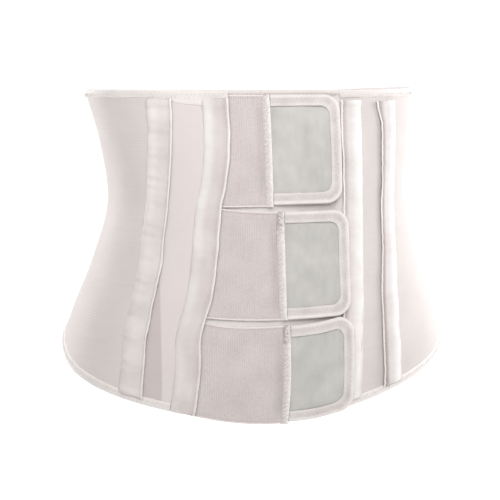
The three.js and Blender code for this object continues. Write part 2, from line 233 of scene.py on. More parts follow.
def hemAt(angle):
    toFront = np.cos(angle - math.radians(body["hemLowestAngle"]))
    levelled = toFront / (1 - np.minimum(toFront, 0) * (1 / body["hemBackShare"] - 1))
    return -(body["drop"] - body["hemDrop"]) - body["hemDrop"] * levelled


def casingLine(name, height):
    down = (firstStrapTop - height) / strapPitch
    column = [row[casingColumn[name]] for row in casingTable]
    return closure["width"] * smoothColumn([row[0] for row in casingTable], column, down)


def beside(name, shift):
    return lambda height: angleAt(casingLine(name, height) + shift, height)


def between(left, right, share):
    return lambda height: lerp(left(height), right(height), share)


def oneTurnOn(line):
    return lambda height: line(height) + 2 * math.pi


def placeOn(line, up, fold=foldDepth):
    # where an upright line is a share of the way from inside the hem's fold to inside the rim's
    height = lerp(-body["drop"], body["rise"], up)
    for _ in range(4):
        angle = line(height)
        height = lerp(hemAt(angle) + fold, rimAt(angle) - fold, up)
    return line(height), height


def ripple(u, v, wave, seed):
    # smooth unevenness between about -1 and 1, wave millimetres from crest to crest
    chance = np.random.default_rng(seed)
    total = 0
    waves = 7
    for _ in range(waves):
        turn = chance.uniform(0, 2 * math.pi)
        length = wave * chance.uniform(0.65, 1.6)
        along = (u * math.cos(turn) + v * math.sin(turn)) * 2 * math.pi / length
        total = total + np.sin(along + chance.uniform(0, 2 * math.pi))
    return total / (waves / 2)


def ease(x, low, high):
    t = np.clip((x - low) / (high - low), 0, 1)
    return t * t * (3 - 2 * t)


# Meshes


def gridPiece(name, points, uv, material, shade):
    # points[i, k] runs round a closed section at step i, and the ends are closed by strips across;
    # shade says where the cloth is paler (up to 1) or darker (down to -1) than its middle colour, as its own
    # tone and as painted highlight and painted shade
    steps, around = points.shape[:2]
    corner = np.arange(steps * around).reshape(steps, around)
    nextCorner = np.roll(corner, -1, axis=1)
    k = np.arange(around)
    sides = np.stack([corner[:-1], nextCorner[:-1], nextCorner[1:], corner[1:]], -1).reshape(-1, 4)
    i = np.repeat(np.arange(steps - 1), around)
    k = np.tile(k, steps - 1)
    sideUv = np.stack([uv[i, k], uv[i, k + 1], uv[i + 1, k + 1], uv[i + 1, k]], 1)
    half = np.arange(around // 2 - 1)
    caps = np.stack([half, around - 1 - half, around - 2 - half, half + 1], 1)
    firstCap = corner[0][caps]
    lastCap = corner[-1][caps[:, ::-1]]
    faces = np.concatenate([sides, firstCap, lastCap])
    faceUv = np.concatenate([sideUv, uv[0][caps], uv[-1][caps[:, ::-1]]])
    tone = np.broadcast_to(shade, points.shape[:2]).reshape(-1)
    addMesh(name, points.reshape(-1, 3), faces, faceUv, material, tone)


def addMesh(name, flat, faces, faceUv, material, tone):
    a, b, c, d = (flat[faces[:, n]] for n in range(4))
    volume = (a * np.cross(b, c)).sum() + (a * np.cross(c, d)).sum()
    if volume < 0:
        faces = faces[:, ::-1]
        faceUv = faceUv[:, ::-1]
    mesh = bpy.data.meshes.new(name)
    mesh.from_pydata((flat / 1000).tolist(), [], faces.tolist())
    mesh.attributes.new("shade", "FLOAT", "POINT").data.foreach_set("value", tone.astype(np.float32))
    layer = mesh.uv_layers.new(name="cloth")
    layer.data.foreach_set("uv", faceUv.reshape(-1).astype(np.float32))
    mesh.materials.append(material)
    mesh.shade_smooth()
    mesh.set_sharp_from_angle(angle=math.radians(55))
    piece = bpy.data.objects.new(name, mesh)
    bpy.context.collection.objects.link(piece)
    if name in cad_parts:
        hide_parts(name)
    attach(piece, "root")


def sheetPiece(name, angle, height, outside, inside, girth, material, shade):
    # a sheet between two lifts: the section runs over the face and back along the inside
    face = formPoint(angle, height, outside)
    back = formPoint(angle, height, inside)
    points = np.concatenate([face, back[:, ::-1]], axis=1)
    mapped = np.stack([girth, height], -1)
    uv = np.concatenate([mapped, mapped[:, ::-1], mapped[:, :1]], axis=1)
    tone = np.broadcast_to(shade, angle.shape)
    tone = np.concatenate([tone, tone[:, ::-1]], axis=1)
    gridPiece(name, points, uv, material, tone)


def sweepPiece(name, angle, height, lift, along, across, material, shade):
    # one closed section swept along a line
    points = formPoint(angle, height, lift)
    along, across = np.broadcast_arrays(along, across)
    uv = np.stack([across, along], -1)
    uv = np.concatenate([uv, uv[:, -1:]], axis=1)
    gridPiece(name, points, uv, material, shade)


def onCloth(angle, height, lift):
    # points for a thread, and the way that the cloth faces there
    return formPoint(angle, height, lift), facing(angle, height)


def threads(name, paths, radius, sides=4, shade=0.0):
    # each path is a line of points from onCloth, and all of them become round threads in one piece
    allPoints = []
    allFaces = []
    first = 0
    turn = np.linspace(0, 2 * math.pi, sides, endpoint=False)
    for path, out in paths:
        ahead = np.gradient(path, axis=0)
        ahead /= np.linalg.norm(ahead, axis=1, keepdims=True)
        side = np.cross(ahead, out)
        side /= np.linalg.norm(side, axis=1, keepdims=True)
        top = np.cross(side, ahead)
        circle = side[:, None] * np.cos(turn)[None, :, None] + top[:, None] * np.sin(turn)[None, :, None]
        tube = path[:, None] + radius * circle
        count = len(path)
        corner = first + np.arange(count * sides).reshape(count, sides)
        nextCorner = np.roll(corner, -1, axis=1)
        quads = np.stack([corner[:-1], corner[1:], nextCorner[1:], nextCorner[:-1]], -1).reshape(-1, 4)
        half = np.arange(sides // 2 - 1)
        caps = np.stack([half, half + 1, sides - 2 - half, sides - 1 - half], 1)
        allPoints.append(tube.reshape(-1, 3))
        allFaces += [quads, corner[0][caps], corner[-1][caps[:, ::-1]]]
        first += count * sides
    flat = np.concatenate(allPoints)
    faces = np.concatenate(allFaces)
    faceUv = flat[faces][..., [0, 2]]
    addMesh(name, flat, faces, faceUv, thread, np.full(len(flat), shade))


# Materials

def linearColour(hexColour):
    channels = [int(hexColour[k:k + 2], 16) / 255 for k in (1, 3, 5)]
    return [c / 12.92 if c <= 0.04045 else ((c + 0.055) / 1.055) ** 2.4 for c in channels] + [1]


def addNode(tree, kind, settings=None, links=None, out=0):
    # adds a node with its settings and links, and gives what it puts out
    node = tree.nodes.new("ShaderNode" + kind)
    for name, value in (settings or {}).items():
        if isinstance(name, str) and hasattr(node, name):
            setattr(node, name, value)
        else:
            node.inputs[name].default_value = value
    for socket, source in (links or {}).items():
        tree.links.new(source, node.inputs[socket])
    return node.outputs[out] if node.outputs else None


def weigh(tree, terms, start=0.0):
    # adds up the sources, each times its own weight
    total = None
    for source, weight in terms:
        inputs = {0: source}
        if total is not None:
            inputs[2] = total
        total = addNode(tree, "Math", {"operation": "MULTIPLY_ADD", 1: weight, 2: start}, inputs)
    return total


# painted shadow colour, which the cloth goes towards where its shade falls below the dark end
foldShadowColour = "#7d7371"


def makeCloth(name, look, extra=None):
    # the cloth's own millimetres across and along, and the shade painted on its corners, carry everything
    material = bpy.data.materials.new(name)
    material.use_nodes = True
    tree = material.node_tree
    tree.nodes.clear()
    place = addNode(tree, "UVMap", {"uv_map": "cloth"})
    across, along = addNode(tree, "SeparateXYZ", links={0: place}, out=slice(0, 2))
    painted = addNode(tree, "Attribute", {"attribute_name": "shade"}, out="Fac")
    parts = []
    for way, pitch, tone, relief in look.get("ribs", []):
        source = along if way == "along" else across
        if way == "slanting":
            source = addNode(tree, "Math", {"operation": "SUBTRACT"}, {0: across, 1: along})
        turns = addNode(tree, "Math", {"operation": "MULTIPLY", 1: 2 * math.pi / pitch}, {0: source})
        parts.append((addNode(tree, "Math", {"operation": "SINE"}, {0: turns}), tone, relief))
    for size, detail, squeeze, tone, relief in look["patches"]:
        drawn = place
        if squeeze:
            drawn = addNode(tree, "VectorMath", {"operation": "MULTIPLY", 1: squeeze}, {0: place})
        noise = addNode(tree, "TexNoise", {"Scale": 1 / size, "Detail": detail}, {"Vector": drawn}, "Fac")
        parts.append((addNode(tree, "Math", {"operation": "SUBTRACT", 1: 0.5}, {0: noise}), tone, relief))
    if extra:
        parts.append(extra(tree, across, along))
    parts.append((painted, look["shade"], 0))
    share = weigh(tree, [(source, tone) for source, tone, _ in parts], look["middle"])
    height = weigh(tree, [(source, relief) for source, _, relief in parts if relief])
    blend = {"data_type": "RGBA", "clamp_factor": True}
    tones = {6: linearColour(look["dark"]), 7: linearColour(look["light"])}
    colour = addNode(tree, "Mix", {**blend, **tones}, {0: share}, 2)
    # below the dark end the colour goes towards the painted shadow of deep creases
    foldShadowShare = addNode(tree, "Math", {"operation": "MULTIPLY", 1: -1.0}, {0: share})
    colour = addNode(tree, "Mix", {**blend, 7: linearColour(foldShadowColour)}, {0: foldShadowShare, 6: colour}, 2)
    bump = addNode(tree, "Bump", {"Distance": look["depth"] / 1000, "Strength": 1.0}, {"Height": height})
    shader = addNode(tree, "BsdfPrincipled", {
        "Roughness": look["roughness"],
        "Specular IOR Level": 0.25,
        "Sheen Weight": look["sheen"],
        "Sheen Roughness": 0.5,
    }, {"Base Color": colour, "Normal": bump})
    addNode(tree, "OutputMaterial", links={"Surface": shader})
    return material


# The colour runs from dark to light and starts at middle, and below dark it goes towards a painted shadow
# colour for deep creases; shade is the weight of the painted shade. ribs: the way that they are counted,
# their pitch in millimetres, and their weights in the colour and in the relief. patches: size in millimetres,
# detail, squeeze, and the same weights. depth is how far the relief stands out in millimetres.

# warp-knitted nylon and elastane: fine level ribs give a matte, evenly streaked face.
# The real ribs are about 1 mm apart, drawn at 2.2 mm so that they can be seen.
nylonPowerMesh = {
    "dark": "#c1b8b5", "light": "#f8f0ed", "middle": 0.5, "shade": 0.5,
    "ribs": [("along", 2.2, 0.015, 0.5), ("across", 1.6, 0.01, 0.25)],
    "patches": [(5, 2, (0.12, 1.6, 1), 0.1, 0), (30, 2, None, 0.2, 0)],
    "depth": 0.035, "roughness": 0.85, "sheen": 0.15,
}
# the same mesh over brushed lining: paler where the lining backs it, and darker beyond the lining's edge, a
# painted shade for the shaded inside seen through the single sheer layer
meshOverLining = {
    "dark": "#c4b8b5", "light": "#ebe2e0", "middle": 0.0, "shade": 0.4,
    "ribs": [("along", 2.2, 0.01, 1.0)],
    "patches": [(24, 2, None, 0.18, 0)],
    "depth": 0.02, "roughness": 0.85, "sheen": 0.15,
    "bare": 0.3, "backed": 0.8, "blur": 0.9,
}
# nylon tricot brushed on its face: a soft nap, whitest over the padded bone, partly as a painted highlight on
# the crown, and pinker on the flat flange
brushedTricot = {
    "dark": "#cabdba", "light": "#fcf9f7", "middle": 0.46, "shade": 0.5,
    "patches": [(1.2, 3, None, 0.25, 0.8), (11, 3, None, 0.28, 1.0)],
    "depth": 0.3, "roughness": 0.9, "sheen": 0.3,
}
# knitted binding tape, folded over and zigzag stitched: fine ribs across it, and two rows of needle holes
# that are drawn wider than real ones so that they can be seen
foldedTape = {
    "dark": "#b9afac", "light": "#fdf7f4", "middle": 0.66, "shade": 0.3,
    "ribs": [("along", 1.5, 0.015, 0.2)],
    "patches": [(7, 3, None, 0.25, 0.8)],
    "depth": 0.12, "roughness": 0.75, "sheen": 0.2,
    "hole": 0.85, "holeWeights": (-0.13, -1.0),
}
# woven elastic: upright ribs of covered rubber crossed by a slanting weft, with rolled hems made white by a
# painted highlight.
# The real ribs are about 1.2 mm apart, drawn at 1.9 mm so that they can be seen.
wovenElastic = {
    "dark": "#b8acaa", "light": "#f0e6e3", "middle": 0.5, "shade": 0.5,
    "ribs": [("across", 1.9, 0.07, 0.5), ("slanting", 2.9, 0.07, 0.4)],
    "patches": [(2.4, 1, None, 0.3, 0), (18, 2, None, 0.25, 0)],
    "depth": 0.11, "roughness": 0.8, "sheen": 0.12,
}
# spun polyester thread laid over raw edges: pale and silky, with the elastic's pink between the stitches
overlockThread = {
    "dark": "#b8adaa", "light": "#fcf6f3", "middle": 0.5, "shade": 0.45,
    "patches": [(3, 2, None, 0.5, 1.0)],
    "depth": 0.25, "roughness": 0.65, "sheen": 0.15,
}
# moulded nylon hook tape seen from its smooth side: milky grey-green, cloudy, with a low gloss
hookTapeBacking = {
    "dark": "#b6b4ae", "light": "#dfddd6", "middle": 0.5, "shade": 0.4,
    "patches": [(17, 3, None, 0.8, 1.0), (9, 2, (1.6, 0.5, 1), 0.35, 0.5)],
    "depth": 0.35, "roughness": 0.55, "sheen": 0.0,
}


def liningBehind(tree, across, along):
    # the bare share is painted shade: darker where the hollow inside would show through the mesh alone
    edge = -closure["underlapReach"]
    backing = addNode(tree, "MapRange", {
        "From Min": edge - meshOverLining["blur"],
        "From Max": edge + meshOverLining["blur"],
        "To Min": meshOverLining["bare"],
        "To Max": meshOverLining["backed"],
    }, {"Value": across})
    return backing, 1.0, 0


def needleHoles(middle):
    # two rows of holes, on both sides of a line middle millimetres in from the edge, half a step apart
    def holesIn(tree, across, along):
        holes = None
        for row, shift in ((middle - zigzag["reach"], 0.0), (middle + zigzag["reach"], 0.5)):
            counted = {"operation": "MULTIPLY_ADD", 1: 1 / zigzag["pitch"], 2: shift}
            steps = addNode(tree, "Math", counted, {0: along})
            cell = addNode(tree, "Math", {"operation": "PINGPONG", 1: 0.5}, {0: steps})
            step = addNode(tree, "Math", {"operation": "MULTIPLY", 1: zigzag["pitch"]}, {0: cell})
            aside = addNode(tree, "Math", {"operation": "SUBTRACT", 1: row}, {0: across})
            offset = addNode(tree, "CombineXYZ", links={0: step, 1: aside})
            away = addNode(tree, "VectorMath", {"operation": "LENGTH"}, {0: offset}, "Value")
            hole = addNode(tree, "MapRange", {
                "interpolation_type": "SMOOTHSTEP",
                "From Min": 0.2 * foldedTape["hole"],
                "From Max": foldedTape["hole"],
                "To Min": 1.0,
                "To Max": 0.0,
            }, {"Value": away})
            if holes is not None:
                hole = addNode(tree, "Math", {"operation": "MAXIMUM"}, {0: holes, 1: hole})
            holes = hole
        return holes, *foldedTape["holeWeights"]

    return holesIn


zigzag = {"reach": 1.5, "pitch": 3.7, "radius": 0.1, "rimMiddle": 4.6, "tabMiddle": 5.2}
meshCloth = makeCloth("nylonPowerMesh", nylonPowerMesh)
backedCloth = makeCloth("meshOverLining", meshOverLining, liningBehind)
tricot = makeCloth("brushedTricot", brushedTricot)
edgeTape = makeCloth("foldedTape", foldedTape, needleHoles(zigzag["rimMiddle"]))
tabTape = makeCloth("foldedTabTape", {**foldedTape, "middle": 0.52}, needleHoles(zigzag["tabMiddle"]))
elastic = makeCloth("wovenElastic", wovenElastic)
thread = makeCloth("overlockThread", overlockThread)
hookTape = makeCloth("hookTapeBacking", hookTapeBacking)
print("materials made")


# Panels

panels = {
    "columnsBack": 230, "columnsFront": 32, "columnsUnderlap": 190, "rows": 100,
    "wrinkle": 0.35,
    "wrinkleLong": 60,
    "radius": 120,  # about the body's own, to count wrinkles round it
    "backFrom": 2.4,  # behind this many radians the cloth's girth is the angle times backRadius
    "backRadius": 130,
    "bulge": 0.5,  # how far the underlap fills the open front
    "landing": 1.4,  # and how much further it comes forward beside the right casing
}
rimLean = 2.3  # the underlap's rim stands forward to run level with the rest of the rim,
leanDepth = 4.0  # as far down as the top strap's edge


def toLanding(angle, height):
    return casingLine("rightInner", height) - halfCasing - girthAt(angle, height)


def openFront(angle, height):
    # 1 between the placket and the right casing, where only the underlap closes the front, and 0 behind them
    fromPlacket = girthAt(angle, height) - casingLine("placket", height) - halfCasing
    return ease(fromPlacket, -2.5, -0.5) * ease(toLanding(angle, height), -1.5, -0.2) * (np.abs(angle) < 1.5)


def panelBetween(name, left, right, columns, face, material, shade=0):
    across, up = np.meshgrid(np.linspace(0, 1, columns + 1), np.linspace(0, 1, panels["rows"] + 1))
    angle, height = placeOn(between(left, right, across), up)
    inFront = np.abs(angle) < panels["backFrom"]
    girth = np.where(inFront, girthAt(angle, height), panels["backRadius"] * angle)
    calm = np.clip(np.minimum(across, 1 - across) * 12, 0, 1) * np.clip(np.minimum(up, 1 - up) * 14, 0, 1)
    wrinkles = ripple(angle * panels["radius"], height, panels["wrinkleLong"], len(name))
    soft = panels["wrinkle"] * calm * wrinkles
    if name == "underlap":
        rest = panels["bulge"] + panels["landing"] * ease(toLanding(angle, height), 7, 0)
        underTape = ease(rimAt(angle) - height, leanDepth + 0.9, leanDepth + 0.2)
        soft = soft + openFront(angle, height) * lerp(rest, rimLean, underTape)
    inside = face - cloth["panel"]
    sheetPiece(name, angle, height, face + soft, inside + soft, girth, material, shade)


landingEdge = beside("rightInner", -halfCasing)
seamGap = cloth["gap"] / 2
tucked = 0.6  # how far a panel ends inside the placket's middle line
panelBetween(
    "back_panel", beside("rightOuter", seamGap), oneTurnOn(beside("leftOuter", -seamGap)),
    panels["columnsBack"], 0, meshCloth,
)
panelBetween(
    "front_panel_left", beside("leftOuter", seamGap), beside("placket", -tucked),
    panels["columnsFront"], 0, backedCloth,
)
panelBetween(
    "front_panel_right", landingEdge, beside("rightOuter", -seamGap),
    panels["columnsFront"], 0, meshCloth,
)
underFace = -cloth["panel"] - 2 * cloth["gap"] - cloth["tape"]
# the underlap is painted paler all over (0.45): painted light that lifts the shade in the slots between the
# straps
panelBetween(
    "underlap", lambda h: angleAt(-closure["underlapReach"], h), beside("rightInner", halfCasing),
    panels["columnsUnderlap"], underFace, tricot, 0.45,
)
print("panels made")


# Casings: a crown over the bone, a stitched groove, and a proud folded edge towards the closure

casings = {
    "rows": 240,
    "foldFrom": 0.39,  # the share across, from its middle, where the folded edge starts
    "lapLong": 14,  # how far from its ends it starts to be drawn out over the tapes
    "pucker": 0.28,  # how unevenly the crown is gathered
    "waver": 0.4,  # how far the folded edge strays sideways
    "overTape": 0.9,  # how much higher it lies where it laps over a binding
    "beadLow": 0.6,  # how strong the folded edge's painted highlight is at the hem, beside its top
}
plainCasing = {
    "side": 1,  # the way its folded edge faces
    "pucker": 1.0,  # how unevenly the crown is gathered
    "ragged": 0.3,  # how uneven its sewn edge is
    "flare": 0.0,  # how far its top turns out
    "lapTop": 4.0,  # how far it laps over the tape of the rim
    "lapLow": 5.0,  # and over that of the hem
    "spread": 0.0,  # how far the crown reaches towards the folded edge
    "whiter": (1.0, 1.0),  # how pale the crown is at the rim and at the hem: paler padded cloth, partly a painted highlight
    "bead": 0.9,  # how strong the painted highlight on its folded edge is
    "groove": 0.1,  # how dark the painted shade in the groove beside that edge is
    "under": 3.0,  # and the painted shadow under it
    "sewn": 0.0,  # how dark its sewn edge is towards the hem
    "tint": 0.0,  # how much paler or darker all of it is
}
# where each one differs from the plain one
casingLooks = {
    "casing_left_outer": {
        "line": "leftOuter", "pucker": 1.9, "ragged": 1.1, "whiter": (0.45, -0.1), "tint": 0.02,
    },
    "casing_right_outer": {
        "line": "rightOuter", "side": -1, "pucker": 1.4, "ragged": 0.5, "flare": 5.5, "lapTop": 1.0,
        "spread": 0.12, "whiter": (1.0, 1.1), "bead": 1.0, "groove": 1.7, "tint": 0.15, "sewn": 2.2,
    },
    "casing_right_inner": {
        "line": "rightInner", "side": -1, "pucker": 1.2, "lapTop": 2.5, "spread": 0.14,
        "whiter": (1.1, 1.0), "groove": 0.9, "under": 0.1, "tint": 0.12, "sewn": 1.2,
    },
    "strap_placket": {
        "line": "placket", "lapTop": 4.4, "lapLow": 0.0, "whiter": (0.9, 0.3), "bead": 1.2, "groove": 0.2,
        "under": 2.0, "tint": -0.2,
    },
}
# across from the sewn edge in casing widths, the lift there in millimetres, and the shade
# in the shade: the crown's paleness is partly a painted highlight, the folded edge has a painted highlight,
# and the groove and the folded edge's underside have painted shade
crown = [
    (-0.5, -0.05, 0.2), (-0.495, 0.6, 0.35), (-0.475, 1.15, 0.5), (-0.44, 1.55, 0.6), (-0.38, 1.9, 0.7),
    (-0.3, 2.05, 0.7), (-0.22, 1.95, 0.6), (-0.14, 1.65, 0.35), (-0.07, 1.35, 0.1), (0.0, 1.15, 0.0),
    (0.08, 1.02, -0.05), (0.18, 0.97, -0.05), (0.27, 0.93, -0.1), (0.335, 0.85, -0.25),
    (0.38, 0.75, -0.35), (0.4, 1.0, 0.2), (0.42, 1.7, 0.7), (0.445, 2.3, 1.0), (0.47, 2.45, 1.0),
    (0.492, 2.25, 0.9), (0.502, 1.85, 0.5), (0.495, 1.5, -0.6), (0.465, 1.38, -1.0), (0.44, 1.2, -1.0),
    (0.425, 0.8, -1.0), (0.415, 0.3, -1.0), (0.3, 0.3, 0.0), (0.15, 0.3, 0.0), (-0.05, 0.3, 0.0),
    (-0.25, 0.3, 0.0), (-0.4, 0.3, 0.0), (-0.48, 0.3, 0.0),
]
casingStitch = {"pitch": 3.6, "long": 2.4, "radius": 0.17, "across": 0.37}
length = body["rise"] + body["drop"]
clearOf = 10.0 / (length - body["hemDrop"] / 2)  # the share of the way that a tape takes


def casingPiece(name, look, seed):
    line, side, lapTop, lapLow = look["line"], look["side"], look["lapTop"], look["lapLow"]
    bottom = clearOf if lapLow else 0
    rows = np.linspace(bottom, 1 - clearOf, casings["rows"] + 1)[:, None]
    share, rest, tone = np.array(crown).T[:, None]
    along = rows * length
    toTop = along[-1] - along
    toLow = along - along[0]
    foldFrom, lapLong = casings["foldFrom"], casings["lapLong"]
    bead = share > foldFrom
    wider = np.interp(share, (-0.5, 0.0, foldFrom), (-0.5, look["spread"], foldFrom))
    share = np.where(bead, share, wider)
    strayed = casings["waver"] * hump(share, 0.5, 0.12) * ripple(along, 0, 34, seed)
    strayed = strayed - look["ragged"] * hump(share, -0.5, 0.16) * np.abs(ripple(along, 0, 24, seed + 5))
    strayed = strayed + look["flare"] * hump(share, 0.5, 0.3) * np.exp(-((toTop / 13) ** 2))
    across = side * (share * closure["casingWidth"] + strayed)
    angle, height = placeOn(beside(line, across), rows + 0 * share)
    rounding = 1 - 0.25 * hump(share, -0.5, 0.08)
    height = height + lapTop * ease(toTop, lapLong, 0) * rounding
    height = height - lapLow * ease(toLow, lapLong, 0) * rounding
    gather = look["pucker"] * casings["pucker"] * (
        ripple(along, share * 8, 26, seed + 1) + 0.7 * ripple(along, share * 6, 8, seed + 2)
    )
    raised = np.clip((rest - 0.35) / 1.2, 0, 1)
    blunt = 0.55 + 0.45 * ease(toTop, 0, 1.5) * (ease(toLow, 0, 1.5) if lapLow else 1)
    lift = np.where(rest > 0, np.maximum((rest + gather * raised - 0.3) * blunt, 0) + 0.3, rest)
    lift = lift + casings["overTape"] * (1 - ease(toTop, lapTop + 0.5, lapTop + 3)) * (lapTop > 2)
    lift = lift + casings["overTape"] * (1 - ease(toLow, 3, 5.5)) * (lapLow > 0)
    lift = lift + 0.5 * (1 - ease(toTop, 0, 3)) * (lapTop < 2)
    # painted light and shade: the crown's and the folded edge's painted highlights fade towards the hem, the
    # folded edge's underside gets a painted shadow, and the groove gets painted shade
    lower = ease(-height, -40, 110)
    whiter = lerp(look["whiter"][0], look["whiter"][1], lower)
    folded = tone * look["bead"] * lerp(1, casings["beadLow"], lower)
    folded = np.where(tone > 0, folded, tone * look["under"])
    tone = np.where(bead, folded, tone * whiter) - look["groove"] * hump(share, 0.33, 0.1)
    nearHem = ease(-height, 50, 105) * (0.6 + 0.4 * ripple(along, 0, 16, seed + 8))
    tone = tone - look["sewn"] * hump(share, -0.43, 0.03) * nearHem
    tone = tone + look["tint"] + 0.16 * ripple(along, share * 20, 30, seed + 7)
    sweepPiece(name, angle, height, lift, height, across, tricot, tone)


def runningStitches(name, line, side):
    # a row of straight stitches in the groove that holds the folded edge down
    paths = []
    for start in np.arange(clearOf * length + 3, (1 - clearOf) * length - 6, casingStitch["pitch"]):
        t = np.linspace(0, 1, 4)
        shift = side * casingStitch["across"] * closure["casingWidth"]
        angle, height = placeOn(beside(line, shift), (start + casingStitch["long"] * t) / length)
        paths.append(onCloth(angle, height, 0.8 + 0.16 * np.sin(math.pi * t)))
    threads(name, paths, casingStitch["radius"])


for index, (name, changes) in enumerate(casingLooks.items()):
    look = {**plainCasing, **changes}
    casingPiece(name, look, 31 + 10 * index)
    runningStitches(name + "_stitches", look["line"], look["side"])
print("casings made")


# Bindings: tape folded over the rim and the hem

bindings = {
    "ring": 620,
    "front": 150,
    "waver": 0.12,
    "width": 10.0,  # the tape's width as its fold is drawn, and on the underlap
    "hemWidth": 7.6,
    "sideWidth": 6.8,  # on the rim round the sides and the back
    "placketWidth": 12.8,  # and where the rim reaches the placket
    "widens": (-125, -72),  # the girths that it widens between
    "sidePaler": 0.6,  # how much paler the tape is painted round the sides, a painted highlight
}
# across from the edge inwards and the lift, both in millimetres, and the shade, for a 10 mm tape
# round a sheet from 0 to -1.2
# the shade paints light on both edges of the face: a painted highlight near the fold, and painted light that
# clears the shade along the inner edge
fold = [
    (10.0, -0.1, 0.2), (9.9, 0.2, 0.2), (9.4, 0.45, 0.2), (8.6, 0.65, 0.2), (7.6, 0.8, 0.15),
    (6.6, 0.88, 0.05), (5.0, 0.9, 0.05), (3.4, 0.95, 0.1), (2.2, 1.05, 0.15), (1.3, 1.05, 0.25),
    (0.5, 0.75, 0.25), (0.0, 0.0, 0.2), (0.0, -0.6, 0), (0.0, -1.05, 0), (0.3, -1.7, 0), (0.9, -2.1, 0),
    (1.8, -2.3, 0), (3.2, -2.3, 0), (5.0, -2.25, 0), (6.6, -2.15, 0), (7.6, -2.05, 0), (8.6, -2.2, 0),
    (9.4, -2.1, 0), (9.9, -1.7, 0), (10.0, -1.1, 0), (9.4, -1.5, 0), (6.0, -1.5, 0), (2.0, -1.5, 0),
    (1.0, -1.35, 0), (0.9, -0.6, 0), (1.0, 0.15, 0), (2.0, 0.3, 0), (6.0, 0.3, 0), (9.4, 0.3, 0),
]
foldAcross, foldLift, foldShade = np.array(fold).T[:, None]


def onEdge(line, edge, inwards, across):
    height = edge(line(np.zeros_like(across)))
    for _ in range(5):
        height = edge(line(height)) + inwards * across
    return line(height), height


def edgeRuler(start, end, edge, inwards):
    # how far along the edge each share of the way is, in millimetres
    share = np.linspace(0, 1, 901)
    angle, height = onEdge(between(start, end, share), edge, inwards, 0 * share)
    steps = np.linalg.norm(np.diff(ovalPoint(angle, height), axis=0), axis=1)
    return share, np.concatenate([[0], np.cumsum(steps)])


def tapeWidth(name, start, end, share):
    if "bottom" in name:
        return bindings["hemWidth"] + 0 * share
    if "underlap" in name:
        return bindings["width"] + 0 * share
    nearRim = 90.0
    girth = girthAt(lerp(start(nearRim), end(nearRim), share), nearRim)
    nearing = ease(girth, *bindings["widens"]) * (girth < 0)
    return lerp(bindings["sideWidth"], bindings["placketWidth"], nearing)


def zigzagStitches(name, length, middle, points, onTape):
    # a zigzag of thread, middle millimetres in from the edge. onTape says where a stitch lies, from the way
    # along the edge, the way in from it and how high the thread stands.
    marks = np.arange(0, length - zigzag["pitch"], zigzag["pitch"] / 2)
    t = np.linspace(0, 1, points)
    paths = []
    for n in range(len(marks) - 1):
        depth = middle + zigzag["reach"] * (2 * t - 1) * (1 if n % 2 == 0 else -1)
        paths.append(onTape(lerp(marks[n], marks[n + 1], t), depth, 0.08 * np.sin(math.pi * t)))
    threads(name, paths, zigzag["radius"])


def edgeBinding(name, start, end, edge, inwards, base, steps, lean, seed):
    share = np.linspace(0, 1, steps + 1)[:, None] + 0 * foldAcross
    ruler = edgeRuler(start, end, edge, inwards)
    along = np.interp(share, *ruler)
    wide = foldAcross * tapeWidth(name, start, end, share) / bindings["width"]
    strayed = wide + bindings["waver"] * ripple(along, 0, 14, seed) * np.clip(foldAcross / 5, 0, 1)
    angle, height = onEdge(between(start, end, share), edge, inwards, strayed)
    lift = base + foldLift + bindings["waver"] * ripple(along, 0, 9, seed + 1) * (foldLift > 0.6)
    lift = lift + lean * openFront(angle, height) * ease(wide, leanDepth + 0.7, leanDepth)
    # painted light and shade: the tape is painted paler round the sides, and the underlap's tape, which leans
    # forward and faces up, is painted darker against the light it catches
    toSide = np.sin(angle)
    paler = toSide ** 4 if inwards < 0 else np.where(toSide > 0, ease(toSide, 0, 0.6), toSide ** 8)
    tone = foldShade + 0.12 * ripple(along, foldAcross, 24, seed + 2) - 0.15 * lean
    tone = tone + bindings["sidePaler"] * paler
    sweepPiece(name, angle, height, lift, along, foldAcross, edgeTape, tone)
    topside = slice(11, None, -1)  # the rows of the fold that face out

    def onTape(along, depth, risen):
        at = np.interp(along, ruler[1], ruler[0])
        angle, height = onEdge(between(start, end, at), edge, inwards, depth)
        rest = np.interp(depth, foldAcross[0, topside], foldLift[0, topside])
        forward = lean * openFront(angle, height) * ease(depth, leanDepth + 0.7, leanDepth)
        return onCloth(angle, height, base + rest + forward + risen)

    zigzagStitches(name.replace("binding", "stitches"), ruler[1][-1], zigzag["rimMiddle"], 4, onTape)


def nextTurn(shift):
    return oneTurnOn(beside("placket", shift))


# where each tape starts and ends, its edge and the way in from it, the lift of the cloth that it is folded
# over, its steps, and how far it leans forward
edges = {
    "top_binding": (landingEdge, nextTurn(halfCasing), rimAt, -1, 0, bindings["ring"], 0.0),
    "bottom_binding": (landingEdge, nextTurn(-halfCasing - cloth["gap"]), hemAt, 1, 0, bindings["ring"], 0.0),
    "underlap_top_binding": (
        beside("placket", halfCasing - 3), beside("rightInner", -halfCasing + 2),
        rimAt, -1, underFace, bindings["front"], rimLean,
    ),
    "underlap_bottom_binding": (
        beside("placket", -halfCasing), beside("rightInner", -halfCasing - cloth["gap"]),
        hemAt, 1, underFace, bindings["front"], 0.0,
    ),
}
for index, (name, settings) in enumerate(edges.items()):
    edgeBinding(name, *settings, 41 + 2 * index)
print("bindings made")


# Straps, seams and tabs

strapLook = {
    "columns": 60, "rows": 90,
    "sag": 0.25,
    "dip": (9, 3.5),  # the hollow beside the joint seam, sunk and given painted shade: how far from it, and how wide
}


